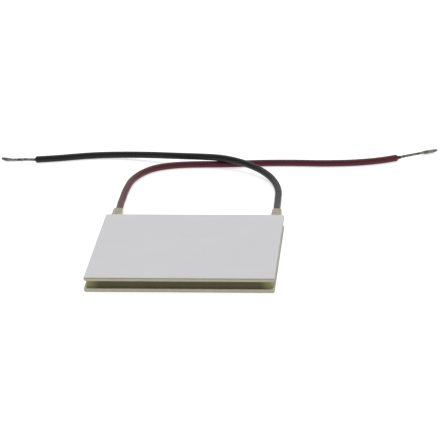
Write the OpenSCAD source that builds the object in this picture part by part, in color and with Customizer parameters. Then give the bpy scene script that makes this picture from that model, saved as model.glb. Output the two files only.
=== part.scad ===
// Thermoelectric cooling module, 40 x 40 mm, with 127 couples and two leads.
//
// Frame: the origin is the centre of the hot plate's outer face. +Z points to the cold face, and
// the leads leave the +Y edge. The module lies on its hot face, and the leads lie on the same surface.
//
// The couples stand in a grid of cells, which one current path visits in a serpentine. Cell 0 of the
// path is the corner where the red lead is soldered, the last cell is the black lead's corner, and
// every cell between them holds a pellet. A copper tab on the hot plate joins cells 0-1, 2-3 and so
// on, and one on the cold plate joins cells 1-2, 3-4 and so on, so all couples are in series.

/* [Plates] */
// Width of both ceramic plates, along X
plate_w = 40; // [20:0.5:62]
// Length of both ceramic plates, along Y
plate_l = 40; // [20:0.5:62]
// Thickness of each ceramic plate
plate_t = 0.8; // [0.5:0.05:1.5]
// Cut across each plate's corners
corner_cut = 0.35; // [0.1:0.05:1]
// Broken edge round each plate's outer face
edge_break = 0.1; // [0.05:0.01:0.2]
// Depth of the laser-scribed step along which the plates were snapped
scribe_depth = 0.05; // [0.02:0.01:0.15]
// Height of that step, from the plate's outer face
scribe_h = 0.25; // [0.15:0.05:0.4]

/* [Couples] */
// Side of each square pellet
pellet_w = 1.4; // [0.8:0.05:2]
// Height of each pellet
pellet_h = 1.1; // [0.8:0.05:2.5]
// Space between neighbouring pellets
pellet_gap = 1.0; // [0.7:0.05:2]
// Thickness of the copper tabs
tab_t = 0.25; // [0.15:0.05:0.5]
// How far a tab reaches past its pellets
tab_margin = 0.15; // [0.05:0.05:0.25]
// Cut across each tab's corners
tab_cut = 0.15; // [0.05:0.05:0.3]
// Thickness of the solder at each end of a pellet
solder_t = 0.05; // [0.02:0.01:0.1]

/* [Edge seal] */
// How far the seal lies back from the plates' edges
seal_inset = 0.3; // [0.1:0.05:1]
// Thickness of the seal, edge to inside
seal_w = 0.6; // [0.4:0.05:1.2]
// Least space between the seal and the copper tabs
seal_gap = 0.1; // [0.05:0.05:0.5]
// Hollow of the seal's outer face, halfway up the gap
seal_hollow = 0.12; // [0.05:0.01:0.2]

/* [Leads] */
// Diameter of one tinned copper strand
strand_d = 0.22; // [0.15:0.01:0.3]
// Outer diameter of the lead's jacket
jacket_d = 1.6; // [1.2:0.05:2.2]
// Length of the solder joint on each lead pad
joint_l = 2.0; // [1:0.1:2.2]
// Thickest part of the solder over the conductor
joint_cover = 0.3; // [0.1:0.05:0.4]
// Length in which the strands turn once round their core
strand_lay = 7; // [4:0.5:12]
// Length of the solder-dipped end of each stripped lead
dipped_l = 3.5; // [1:0.1:4.5]
// Thickness of the solder over the strands at that end
dipped_t = 0.09; // [0.05:0.01:0.15]

/* [Sleeves] */
// Length of each sleeve beyond the plates' edge
sleeve_l = 6.5; // [4:0.1:7.5]
// Wall of each sleeve
sleeve_wall = 0.33; // [0.2:0.01:0.5]
// How far the jacket reaches into the sleeve
jacket_grip = 2; // [1:0.1:3]
// Radial clearance between the jacket and the sleeve
sleeve_fit = 0.02; // [0.01:0.01:0.05]
// How far the sealant bead stands out round the sleeve, at the plates' edge
bead_lip = 0.3; // [0.1:0.05:0.5]
// Length over which the bead runs down to the sleeve
bead_l = 2.2; // [1:0.1:3]
// Thickness of the bead's sealant between the plates' edge and the sleeve
bead_web = 0.3; // [0.1:0.05:0.6]

/* [Hidden] */

// Heights of the stack, from the hot face up
gap_h = 2 * tab_t + 2 * solder_t + pellet_h;
hot_inside = plate_t;
cold_inside = hot_inside + gap_h;
module_h = cold_inside + plate_t;
pellet_z = hot_inside + tab_t + solder_t;

// Grid of cells: as many as the seal leaves room for, with an even number of columns so that the
// path starts and ends at the edge that the leads leave
pitch = pellet_w + pellet_gap;
tab_w = pellet_w + 2 * tab_margin;
seal_outer_w = plate_w - 2 * seal_inset;
seal_outer_l = plate_l - 2 * seal_inset;
room_w = seal_outer_w - 2 * seal_w - 2 * seal_gap;
room_l = seal_outer_l - 2 * seal_w - 2 * seal_gap;
cols = 2 * floor((floor((room_w - tab_w) / pitch) + 1) / 2);
rows = floor((room_l - tab_w) / pitch) + 1;
last_cell = cols * rows - 1;
array_y = (room_l - (rows - 1) * pitch - tab_w) / 2;

// Leads
edge_y = plate_l / 2;
conductor_d = 3 * strand_d;
lead_x = (cols - 1) / 2 * pitch;
lead_z = hot_inside + tab_t + solder_t + conductor_d / 2;
bore_d = jacket_d + 2 * sleeve_fit;
sleeve_d = bore_d + 2 * sleeve_wall;
jacket_start = sleeve_l - jacket_grip;
joint_end = edge_y - seal_inset - seal_w;
root_start = joint_end - joint_l;
tip_d = conductor_d + 2 * dipped_t;
jacket_sides = 8;
round_fn = 32;

// Each lead's route on the surface: x, the distance beyond the plates' edge, and the height of the
// jacket's underside over the surface, in jacket diameters. The black lead crosses over the red one.
red_route = [
    [-18.1, 10.5, 0.3], [-18.3, 14.5, 0.1], [-18.3, 18.5, 0], [-18.3, 22.5, 0], [-18.1, 26.5, 0],
    [-17.8, 30, 0], [-17, 33.5, 0], [-15.6, 37, 0], [-13.3, 40.2, 0], [-10, 42.2, 0], [-6, 43.2, 0],
    [-2, 43.5, 0], [2, 43.6, 0], [6, 43.9, 0], [10, 44.4, 0], [14, 44.7, 0], [18, 44.8, 0],
    [22, 44.7, 0], [26, 44.5, 0], [30, 44.6, 0], [34, 45, 0], [38, 45.9, 0], [41.5, 47.2, 0],
    [45, 49.1, 0]
];
red_tip = [54.6, 56];
black_route = [
    [17.8, 10.5, 0.3], [17.7, 14.5, 0.1], [17.6, 18.5, 0], [17.5, 22.5, 0], [17, 26.5, 0.04],
    [16, 30.4, 0.14], [14.4, 34, 0.32], [12, 37.3, 0.54], [9, 40, 0.78], [5.6, 42.1, 0.96],
    [2, 43.5, 1.05], [-2, 44.5, 1], [-6, 45.5, 0.88], [-10, 46.8, 0.7], [-14, 48.2, 0.5],
    [-18, 49.4, 0.3], [-22, 50.2, 0.14], [-26, 50.5, 0.04], [-30, 50.1, 0], [-34, 49.1, 0],
    [-38, 48, 0], [-43, 47, 0]
];
black_tip = [-51.6, 48.4];

// Centre of a cell, in column col and row row
function cell(col, row) = [
    (col - (cols - 1) / 2) * pitch,
    edge_y - seal_inset - seal_w - seal_gap - array_y - tab_w / 2 - (rows - 1 - row) * pitch
];

// Centre of the path's cell number k: down the first column, up the second, and so on
function path_cell(k) =
    let (col = floor(k / rows), step = k % rows)
    cell(col, col % 2 == 0 ? rows - 1 - step : step);

// The lead's path: two points in line with the sleeve, then the route over the surface
function lead_path(x, route) = concat(
    [[x, edge_y + jacket_start, lead_z], [x, edge_y + sleeve_l + 0.5, lead_z]],
    [for (p = route) [p[0], edge_y + p[1], jacket_d / 2 + p[2] * jacket_d]]
);

// The end of a stripped lead rests on the surface
function tip_point(tip) = [tip[0], edge_y + tip[1], tip_d / 2];

function unit(v) = v / norm(v);

// Direction of the path at its point i, where after is the point that follows the last one
function heading(path, i, after) =
    i == 0 ? unit(path[1] - path[0])
    : i == len(path) - 1 ? unit(after - path[i])
    : unit(path[i + 1] - path[i - 1]);

// The ring of points round the path's point i, square to the path and level with the surface
function ring(path, i, after, d, sides) =
    let (
        ahead = heading(path, i, after),
        side = unit(cross(ahead, [0, 0, 1])),
        up = cross(side, ahead)
    )
    [for (s = [0 : sides - 1])
        let (a = 360 * (s + 0.5) / sides)
        path[i] + d / 2 * (cos(a) * side + sin(a) * up)];

// Round tube along a path, closed at both ends
module swept_tube(path, after, d, sides) {
    n = len(path);
    points = [for (i = [0 : n - 1]) each ring(path, i, after, d, sides)];
    walls = [for (i = [0 : n - 2], s = [0 : sides - 1])
        let (a = i * sides + s, b = i * sides + (s + 1) % sides)
        each [[a, b, b + sides], [a, b + sides, a + sides]]];
    start_cap = [for (s = [sides - 1 : -1 : 0]) s];
    end_cap = [for (s = [0 : sides - 1]) (n - 1) * sides + s];
    polyhedron(points, concat([start_cap], walls, [end_cap]));
}

// Outline of six strands that touch round a seventh
function strand_outline() =
    [for (s = [0 : 5], a = [-30 : 15 : 15])
        let (r = strand_d * (cos(a) + sqrt(max(0, 0.25 - pow(sin(a), 2)))))
        r * [cos(60 * s + a), sin(60 * s + a)]];

// Moves its children from the origin to point a, with their +Z turned towards point b
module aim(a, b) {
    v = b - a;
    translate(a)
        rotate([0, acos(v[2] / norm(v)), atan2(v[1], v[0])])
            children();
}

// Turns its children from +Z to +Y, and sets them on a lead's axis at the plates' edge
module on_lead_axis(x, y = edge_y) {
    translate([x, y, lead_z])
        rotate([-90, 0, 0])
            children();
}

// Rectangle about the origin with its corners cut off
module cut_rectangle(w, l, cut) {
    x = w / 2;
    y = l / 2;
    polygon([
        [x - cut, -y], [x, -y + cut], [x, y - cut], [x - cut, y],
        [-x + cut, y], [-x, y - cut], [-x, -y + cut], [-x + cut, -y]
    ]);
}

// Ceramic plate with its inner face at z = 0 and its outer face up, at z = plate_t. It was scribed
// from the outer face and snapped there, so the scribed step goes all round under a broken edge.
module plate() {
    scribed_w = plate_w - 2 * scribe_depth;
    scribed_l = plate_l - 2 * scribe_depth;
    difference() {
        union() {
            linear_extrude(plate_t)
                cut_rectangle(scribed_w, scribed_l, corner_cut);
            linear_extrude(plate_t - scribe_h)
                cut_rectangle(plate_w, plate_l, corner_cut);
        }
        for (side = [0 : 3]) {
            across = side % 2 == 0 ? scribed_w : scribed_l;
            rotate([0, 0, 90 * side])
                translate([across / 2, 0, plate_t])
                    rotate([90, 0, 0])
                        linear_extrude(plate_w + plate_l, center = true)
                            polygon([[-edge_break, 0], [0, -edge_break], [edge_break, 0],
                                [0, edge_break]]);
        }
    }
}

// Copper tab over the cells a and b, with its lower face at z
module tab(a, b, z) {
    middle = (a + b) / 2;
    translate([middle[0], middle[1], z])
        linear_extrude(tab_t)
            cut_rectangle(abs(b[0] - a[0]) + tab_w, abs(b[1] - a[1]) + tab_w, tab_cut);
}

// Square block over a cell, from z up
module cell_block(c, z, h) {
    translate([c[0] - pellet_w / 2, c[1] - pellet_w / 2, z])
        cube([pellet_w, pellet_w, h]);
}

module lead_conductor(x) {
    on_lead_axis(x, root_start)
        cylinder(h = edge_y + jacket_start - root_start, d = conductor_d, $fn = round_fn);
}

// Solder that wets the conductor and the lead pad under it
module lead_joint(x) {
    steps = 6;
    difference() {
        intersection() {
            on_lead_axis(x, root_start)
                rotate_extrude($fn = round_fn)
                    polygon(concat(
                        [[0, 0]],
                        [for (i = [0 : steps])
                            [conductor_d / 2 + joint_cover * sin(180 * i / steps), joint_l * i / steps]],
                        [[0, joint_l]]
                    ));
            translate([x - tab_w, root_start, hot_inside + tab_t])
                cube([2 * tab_w, joint_l, pellet_h]);
        }
        lead_conductor(x);
    }
}

// Sealant where a lead leaves: it fills the gap to the seal, backs the sleeve's end, runs down
// outside the sleeve, and fills the sleeve up to the jacket
module exit_bead(x) {
    steps = 6;
    mouth_r = sleeve_d / 2 + bead_lip;
    difference() {
        union() {
            intersection() {
                on_lead_axis(x)
                    rotate_extrude($fn = round_fn)
                        polygon(concat(
                            [[0, 0]],
                            [for (i = [0 : steps])
                                let (a = 90 * i / steps)
                                [sleeve_d / 2 + bead_lip * (1 - sin(a)), bead_l * (1 - cos(a))]],
                            [[0, bead_l]]
                        ));
                translate([x - mouth_r, edge_y, edge_break])
                    cube([2 * mouth_r, bead_l, module_h - 2 * edge_break]);
            }
            on_lead_axis(x)
                cylinder(h = jacket_start, d = bore_d, $fn = round_fn);
            translate([x - mouth_r, edge_y - seal_inset, hot_inside])
                cube([2 * mouth_r, seal_inset, gap_h]);
        }
        on_lead_axis(x, edge_y + bead_web)
            difference() {
                cylinder(h = sleeve_l, d = sleeve_d, $fn = round_fn);
                cylinder(h = sleeve_l, d = bore_d, $fn = round_fn);
            }
        lead_conductor(x);
    }
}

// Translucent tube over the end of the jacket, with its outer end bevelled
module lead_sleeve(x) {
    bevel = sleeve_wall / 2;
    on_lead_axis(x)
        rotate_extrude($fn = round_fn)
            polygon([
                [bore_d / 2, bead_web], [sleeve_d / 2, bead_web], [sleeve_d / 2, sleeve_l - bevel],
                [sleeve_d / 2 - bevel, sleeve_l], [bore_d / 2, sleeve_l]
            ]);
}

// Jacket of a lead, from inside its sleeve to where it is stripped
module lead_jacket(x, route, tip) {
    swept_tube(lead_path(x, route), tip_point(tip), jacket_d, jacket_sides);
}

// Stripped end: six strands twisted round a seventh, and dipped in solder at the end
module wire_tip(x, route, tip) {
    path = lead_path(x, route);
    start = path[len(path) - 1];
    end = tip_point(tip);
    bare_l = norm(end - start);
    twisted_l = bare_l - dipped_l / 2;
    aim(start, end) {
        linear_extrude(twisted_l, twist = 360 * twisted_l / strand_lay, slices = 14)
            polygon(strand_outline());
        translate([0, 0, bare_l - dipped_l])
            rotate_extrude($fn = 12)
                polygon([
                    [0, 0], [conductor_d / 2 - strand_d / 8, 0], [tip_d / 2, dipped_l * 0.4],
                    [tip_d / 2, dipped_l * 0.8], [tip_d / 4, dipped_l], [0, dipped_l]
                ]);
    }
}

module hot_plate() {
    color([0.8, 0.8, 0.8])
        translate([0, 0, plate_t])
            mirror([0, 0, 1])
                plate();
}

module cold_plate() {
    color([0.81, 0.81, 0.82])
        translate([0, 0, cold_inside])
            plate();
}

module hot_tabs() {
    color([0.8, 0.5, 0.35])
        for (k = [2 : 2 : last_cell - 3])
            tab(path_cell(k), path_cell(k + 1), hot_inside);
}

module cold_tabs() {
    color([0.8, 0.5, 0.35])
        for (k = [1 : 2 : last_cell - 2])
            tab(path_cell(k), path_cell(k + 1), cold_inside - tab_t);
}

module n_pellets() {
    color([0.38, 0.39, 0.42])
        for (k = [1 : 2 : last_cell - 2])
            cell_block(path_cell(k), pellet_z, pellet_h);
}

module p_pellets() {
    color([0.48, 0.49, 0.52])
        for (k = [2 : 2 : last_cell - 1])
            cell_block(path_cell(k), pellet_z, pellet_h);
}

module hot_solder() {
    color([0.75, 0.76, 0.78])
        for (k = [1 : last_cell - 1])
            cell_block(path_cell(k), hot_inside + tab_t, solder_t);
}

module cold_solder() {
    color([0.75, 0.76, 0.78])
        for (k = [1 : last_cell - 1])
            cell_block(path_cell(k), pellet_z + pellet_h, solder_t);
}

module edge_seal() {
    half = gap_h / 2;
    color([0.34, 0.32, 0.24])
        difference() {
            translate([0, 0, hot_inside])
                linear_extrude(gap_h)
                    difference() {
                        square([seal_outer_w, seal_outer_l], center = true);
                        square([seal_outer_w - 2 * seal_w, seal_outer_l - 2 * seal_w], center = true);
                    }
            for (side = [0 : 3]) {
                across = side % 2 == 0 ? seal_outer_w : seal_outer_l;
                along = side % 2 == 0 ? seal_outer_l : seal_outer_w;
                rotate([0, 0, 90 * side])
                    translate([across / 2, 0, hot_inside + half])
                        rotate([90, 0, 0])
                            linear_extrude(along + 1, center = true)
                                polygon([[seal_inset, -half], [0, -half], [-seal_hollow, -half / 2],
                                    [-seal_hollow, half / 2], [0, half], [seal_inset, half]]);
            }
            for (x = [-lead_x, lead_x])
                lead_conductor(x);
        }
}

module red_lead_pad() {
    color([0.8, 0.5, 0.35])
        tab(path_cell(0), path_cell(1), hot_inside);
}

module black_lead_pad() {
    color([0.8, 0.5, 0.35])
        tab(path_cell(last_cell - 1), path_cell(last_cell), hot_inside);
}

module red_lead_joint() {
    color([0.75, 0.76, 0.78]) lead_joint(-lead_x);
}

module black_lead_joint() {
    color([0.75, 0.76, 0.78]) lead_joint(lead_x);
}

module red_wire_root() {
    color([0.7, 0.7, 0.7]) lead_conductor(-lead_x);
}

module black_wire_root() {
    color([0.7, 0.7, 0.7]) lead_conductor(lead_x);
}

module red_exit_bead() {
    color([0.78, 0.76, 0.68]) exit_bead(-lead_x);
}

module black_exit_bead() {
    color([0.78, 0.76, 0.68]) exit_bead(lead_x);
}

module red_lead_sleeve() {
    color([0.66, 0.64, 0.52]) lead_sleeve(-lead_x);
}

module black_lead_sleeve() {
    color([0.66, 0.64, 0.52]) lead_sleeve(lead_x);
}

module red_lead() {
    color([0.36, 0.12, 0.15]) lead_jacket(-lead_x, red_route, red_tip);
}

module black_lead() {
    color([0.12, 0.12, 0.12]) lead_jacket(lead_x, black_route, black_tip);
}

module red_wire_tip() {
    color([0.6, 0.6, 0.58]) wire_tip(-lead_x, red_route, red_tip);
}

module black_wire_tip() {
    color([0.6, 0.6, 0.58]) wire_tip(lead_x, black_route, black_tip);
}

hot_plate();
cold_plate();
hot_tabs();
cold_tabs();
n_pellets();
p_pellets();
hot_solder();
cold_solder();
edge_seal();
red_lead_pad();
black_lead_pad();
red_lead_joint();
black_lead_joint();
red_wire_root();
black_wire_root();
red_exit_bead();
black_exit_bead();
red_lead_sleeve();
black_lead_sleeve();
red_lead();
black_lead();
red_wire_tip();
black_wire_tip();
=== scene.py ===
"""Looks of a thermoelectric cooling module: two ceramic plates with a sealed gap, and two leads.

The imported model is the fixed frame. The pieces that show are made here in metres, each round the box
of the CAD node that it stands for, and the pieces sealed in the gap keep their CAD shape and get a
real finish. The module lies on its hot plate, the leads leave the +Y edge, and +Z is up.
"""

import logging
import math
from collections.abc import Callable, Iterable, Sequence
from dataclasses import dataclass
from enum import Enum
from typing import Any

import bpy
import numpy as np
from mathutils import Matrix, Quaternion, Vector


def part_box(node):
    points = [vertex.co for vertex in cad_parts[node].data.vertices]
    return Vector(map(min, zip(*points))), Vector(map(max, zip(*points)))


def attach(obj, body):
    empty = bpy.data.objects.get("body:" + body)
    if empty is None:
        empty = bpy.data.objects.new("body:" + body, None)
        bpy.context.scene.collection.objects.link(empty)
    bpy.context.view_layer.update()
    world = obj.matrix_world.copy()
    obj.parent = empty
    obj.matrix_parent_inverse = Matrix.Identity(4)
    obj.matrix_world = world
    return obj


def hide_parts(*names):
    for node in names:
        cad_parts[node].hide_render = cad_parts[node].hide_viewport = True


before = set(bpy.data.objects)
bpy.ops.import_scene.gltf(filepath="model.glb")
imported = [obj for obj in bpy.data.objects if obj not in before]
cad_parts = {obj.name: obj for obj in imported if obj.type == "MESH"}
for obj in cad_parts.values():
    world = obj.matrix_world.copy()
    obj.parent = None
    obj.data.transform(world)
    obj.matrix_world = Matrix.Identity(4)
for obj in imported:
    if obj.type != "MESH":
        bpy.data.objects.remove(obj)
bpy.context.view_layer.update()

MM = 0.001
BODY = "root"
LOG = logging.getLogger("module")


# ---------------------------------------------------------------- colours, nodes and meshes


def srgb(code: str) -> tuple[float, float, float, float]:
    """Turns an sRGB hex colour into linear values.

    Args:
        code: Six hex digits.

    Returns:
        Linear red, green and blue, and an alpha of one.
    """
    parts = [int(code[i:i + 2], 16) / 255 for i in (0, 2, 4)]
    linear = [c / 12.92 if c <= 0.04045 else ((c + 0.055) / 1.055) ** 2.4 for c in parts]
    return (*linear, 1.0)


def add(
    tree: bpy.types.NodeTree,
    kind: str,
    inputs: dict[str | int, Any] | None = None,
    pick: str | None = None,
    **settings: Any,
) -> bpy.types.NodeSocket | None:
    """Adds a node, makes its settings, and links or sets its inputs.

    Args:
        tree: The shader or geometry tree that the node goes into.
        kind: Blender's type name of the node.
        inputs: For each input, by name or number among those in use, a socket to link or a value.
        pick: Name of the output wanted, or None for the first in use.
        **settings: Properties of the node, such as operation.

    Returns:
        The wanted output, or None for a node without outputs.
    """
    node = tree.nodes.new(kind)
    for name, value in settings.items():
        setattr(node, name, value)
    used = [socket for socket in node.inputs if socket.enabled]
    for key, value in (inputs or {}).items():
        socket = used[key] if isinstance(key, int) else next(s for s in used if s.name == key)
        if isinstance(value, bpy.types.NodeSocket):
            tree.links.new(value, socket)
        else:
            socket.default_value = value
    outputs = [socket for socket in node.outputs if socket.enabled]
    return next((s for s in outputs if pick in (None, s.name)), None)


def link(name: str, data: bpy.types.ID) -> bpy.types.Object:
    """Makes an object at the origin and links it to the scene.

    Args:
        name: Name of the object.
        data: Its mesh, curve, light or camera.

    Returns:
        The object.
    """
    made = bpy.data.objects.new(name, data)
    bpy.context.scene.collection.objects.link(made)
    return made


def mesh_object(name: str, points: np.ndarray, faces: Iterable[Sequence[int]]) -> bpy.types.Object:
    """Makes a smooth-shaded mesh object at the origin.

    Args:
        name: Name of the object.
        points: One row of x, y and z for each vertex, in metres.
        faces: The vertex numbers of each face, anticlockwise seen from outside.

    Returns:
        The object, linked to the scene.
    """
    mesh = bpy.data.meshes.new(name)
    mesh.from_pydata(points.tolist(), [], [list(face) for face in faces])
    mesh.shade_smooth()
    return link(name, mesh)


def curve_object(name: str, points: np.ndarray, cyclic: bool = False) -> bpy.types.Object:
    """Makes a curve object of one straight-sided spline, for a geometry tree to sweep or copy.

    Args:
        name: Name of the object.
        points: One row of x, y and z for each point, in metres.
        cyclic: Whether the spline closes on itself.

    Returns:
        The object, linked to the scene.
    """
    data = bpy.data.curves.new(name, "CURVE")
    data.dimensions = "3D"
    spline = data.splines.new("POLY")
    spline.points.add(len(points) - 1)
    spline.points.foreach_set("co", np.hstack([points, np.ones((len(points), 1))]).ravel())
    spline.use_cyclic_u = cyclic
    return link(name, data)


def store(piece: bpy.types.Object, name: str, values: np.ndarray) -> None:
    """Stores one number or one vector for each vertex of a mesh, for its finish to read.

    Args:
        piece: The mesh object.
        name: Name of the attribute.
        values: An array with one entry, or one row of three, for each vertex.
    """
    kind, key = ("FLOAT", "value") if values.ndim == 1 else ("FLOAT_VECTOR", "vector")
    attribute = piece.data.attributes.new(name, kind, "POINT")
    attribute.data.foreach_set(key, values.astype(np.float32).ravel())


def new_tree(name: str, **inputs: str) -> tuple[bpy.types.NodeTree, dict[str, bpy.types.NodeSocket]]:
    """Starts a geometry tree with named inputs.

    Args:
        name: Name of the tree.
        **inputs: The kind of each input by its name, such as Float or Material.

    Returns:
        The tree, and its inputs' sockets by name, with the geometry itself under "shape".
    """
    tree = bpy.data.node_groups.new(name, "GeometryNodeTree")
    tree.interface.new_socket("shape", in_out="INPUT", socket_type="NodeSocketGeometry")
    for key, kind in inputs.items():
        tree.interface.new_socket(key, in_out="INPUT", socket_type=f"NodeSocket{kind}")
    tree.interface.new_socket("result", in_out="OUTPUT", socket_type="NodeSocketGeometry")
    first = add(tree, "NodeGroupInput")
    return tree, {socket.name: socket for socket in first.node.outputs if socket.name}


def grow(host: bpy.types.Object, tree: bpy.types.NodeTree, **values: Any) -> bpy.types.Object:
    """Runs a geometry tree on an object, and keeps the result as a plain mesh of the same name.

    Args:
        host: The mesh or curve that the tree works on. It is used up.
        tree: The geometry tree.
        **values: The value of each named input.

    Returns:
        A mesh object at the origin, with no modifier.
    """
    modifier = host.modifiers.new("grow", "NODES")
    modifier.node_group = tree
    for item in tree.interface.items_tree:
        if item.in_out == "INPUT" and item.name in values:
            modifier[item.identifier] = values[item.name]
    graph = bpy.context.evaluated_depsgraph_get()
    mesh = bpy.data.meshes.new_from_object(
        host.evaluated_get(graph), preserve_all_data_layers=True, depsgraph=graph
    )
    name = host.name
    host.modifiers.clear()
    bpy.data.objects.remove(host)
    mesh.name = name
    return link(name, mesh)


def settle(piece: bpy.types.Object, slot: str, *nodes: str) -> bpy.types.Object:
    """Rides a finished piece on the module's body, and lets it stand for its CAD nodes.

    Args:
        piece: The finished piece.
        slot: The record's material slot that its finish belongs to. It is not used.
        *nodes: The CAD nodes that it stands for.

    Returns:
        The piece.
    """
    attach(piece, BODY)
    if nodes:
        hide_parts(*nodes)
    LOG.info("%s: %d faces", piece.name, len(piece.data.polygons))
    return piece


# ---------------------------------------------------------------- finishes


@dataclass(frozen=True)
class Finish:
    """A real material with the way that its surface was made."""

    name: str
    roughness: float = 0.5
    ior: float = 1.5
    metallic: float = 0.0

    def material(self) -> bpy.types.Material:
        """Makes the material the first time, and hands out the same one after that."""
        known = bpy.data.materials.get(self.name)
        if known:
            return known
        made = bpy.data.materials.new(self.name)
        made.use_nodes = True
        shader = made.node_tree.nodes["Principled BSDF"]
        shader.inputs["Roughness"].default_value = self.roughness
        shader.inputs["Metallic"].default_value = self.metallic
        if not self.metallic:
            shader.inputs["IOR"].default_value = self.ior
        self.dress(made.node_tree, shader)
        return made

    def dress(self, tree: bpy.types.NodeTree, shader: bpy.types.Node) -> None:
        """Gives the shader its colour, roughness and bump.

        Args:
            tree: The material's node tree.
            shader: Its Principled shader.
        """
        raise NotImplementedError

    @staticmethod
    def patches(
        tree: bpy.types.NodeTree, place: bpy.types.NodeSocket, size: float, colours: tuple[str, str],
        detail: float = 3.0,
    ) -> tuple[bpy.types.NodeSocket, bpy.types.NodeSocket]:
        """Spreads two colours in soft patches.

        Args:
            tree: The material's node tree.
            place: The coordinates that the patches follow.
            size: Size of a patch, in metres.
            colours: The two colours, as hex codes.
            detail: Number of finer layers in the patches' outlines.

        Returns:
            The patches themselves, from 0 to 1, and the mixed colour.
        """
        noise = add(tree, "ShaderNodeTexNoise", {"Vector": place, "Scale": 1 / size, "Detail": detail})
        first, second = map(srgb, colours)
        return noise, add(tree, "ShaderNodeMix", {"Factor": noise, "A": first, "B": second}, data_type="RGBA")

    @staticmethod
    def relief(
        tree: bpy.types.NodeTree, place: bpy.types.NodeSocket, size: float, height: float, detail: float = 2.0
    ) -> bpy.types.NodeSocket:
        """Raises a fine noise out of the surface.

        Args:
            tree: The material's node tree.
            place: The coordinates that the noise follows.
            size: Size of a grain, in metres, or 1 where place is already scaled.
            height: Height of a grain, in metres.
            detail: Number of finer layers.

        Returns:
            The bumped normal.
        """
        noise = add(tree, "ShaderNodeTexNoise", {"Vector": place, "Scale": 1 / size, "Detail": detail})
        return add(tree, "ShaderNodeBump", {"Height": noise, "Distance": height})

    @staticmethod
    def join(
        tree: bpy.types.NodeTree, shader: bpy.types.Node, colour: bpy.types.NodeSocket,
        gloss: bpy.types.NodeSocket | None = None, bump: bpy.types.NodeSocket | None = None,
    ) -> None:
        """Links what a finish has worked out to its shader.

        Args:
            tree: The material's node tree.
            shader: Its Principled shader.
            colour: The base colour.
            gloss: The roughness, or None where it is the same all over.
            bump: The bumped normal, or None for a smooth surface.
        """
        for name, socket in (("Base Color", colour), ("Roughness", gloss), ("Normal", bump)):
            if socket is not None:
                tree.links.new(socket, shader.inputs[name])


@dataclass(frozen=True)
class FiredAlumina(Finish):
    """96% alumina, tape-cast and fired: matt, off-white, with faint clouds and a few dark specks."""

    body: str = "E0E0E2"
    cloud: str = "DADADD"
    speck: str = "8F8C84"
    cloud_size: float = 8 * MM
    speck_spacing: float = 3.5 * MM
    speck_size: float = 0.08 * MM
    grain_size: float = 0.25 * MM  # the real grain of 0.005 mm is too fine to show
    grain_height: float = 0.002 * MM

    def dress(self, tree: bpy.types.NodeTree, shader: bpy.types.Node) -> None:
        """Clouds of two whites, rare specks, and a fine even grain."""
        place = add(tree, "ShaderNodeTexCoord", pick="Object")
        clouds, whites = self.patches(tree, place, self.cloud_size, (self.body, self.cloud))
        near = add(tree, "ShaderNodeTexVoronoi", {"Vector": place, "Scale": 1 / self.speck_spacing})
        reach = self.speck_size / self.speck_spacing
        spot = add(tree, "ShaderNodeMapRange", {
            "Value": near, "From Min": reach, "From Max": reach / 2}, interpolation_type="SMOOTHSTEP")
        colour = add(tree, "ShaderNodeMix", {
            "Factor": spot, "A": whites, "B": srgb(self.speck)}, data_type="RGBA")
        gloss = add(tree, "ShaderNodeMapRange", {
            "Value": clouds, "To Min": self.roughness - 0.06, "To Max": self.roughness + 0.06})
        bump = self.relief(tree, place, self.grain_size, self.grain_height)
        self.join(tree, shader, colour, gloss, bump)


@dataclass(frozen=True)
class SnappedAlumina(Finish):
    """The plates' snapped edges: rough cream ceramic, and grey-brown where the laser fused it."""

    body: str = "C4BFA4"
    patch: str = "B3AE92"
    fused: str = "8B8769"
    patch_size: float = 1.8 * MM
    crystal_size: float = 0.12 * MM
    crystal_height: float = 0.012 * MM

    def dress(self, tree: bpy.types.NodeTree, shader: bpy.types.Node) -> None:
        """Two creams in patches, darker by the stored amount of laser glaze, over a coarse fracture."""
        place = add(tree, "ShaderNodeTexCoord", pick="Object")
        _, creams = self.patches(tree, place, self.patch_size, (self.body, self.patch), detail=4.0)
        glaze = add(tree, "ShaderNodeAttribute", pick="Fac", attribute_name="glaze")
        colour = add(tree, "ShaderNodeMix", {
            "Factor": glaze, "A": creams, "B": srgb(self.fused)}, data_type="RGBA")
        crystals = add(tree, "ShaderNodeTexVoronoi", {"Vector": place, "Scale": 1 / self.crystal_size})
        bump = add(tree, "ShaderNodeBump", {"Height": crystals, "Distance": self.crystal_height})
        gloss = add(tree, "ShaderNodeMapRange", {
            "Value": glaze, "To Min": self.roughness, "To Max": self.roughness - 0.25})
        self.join(tree, shader, colour, gloss, bump)


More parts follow.
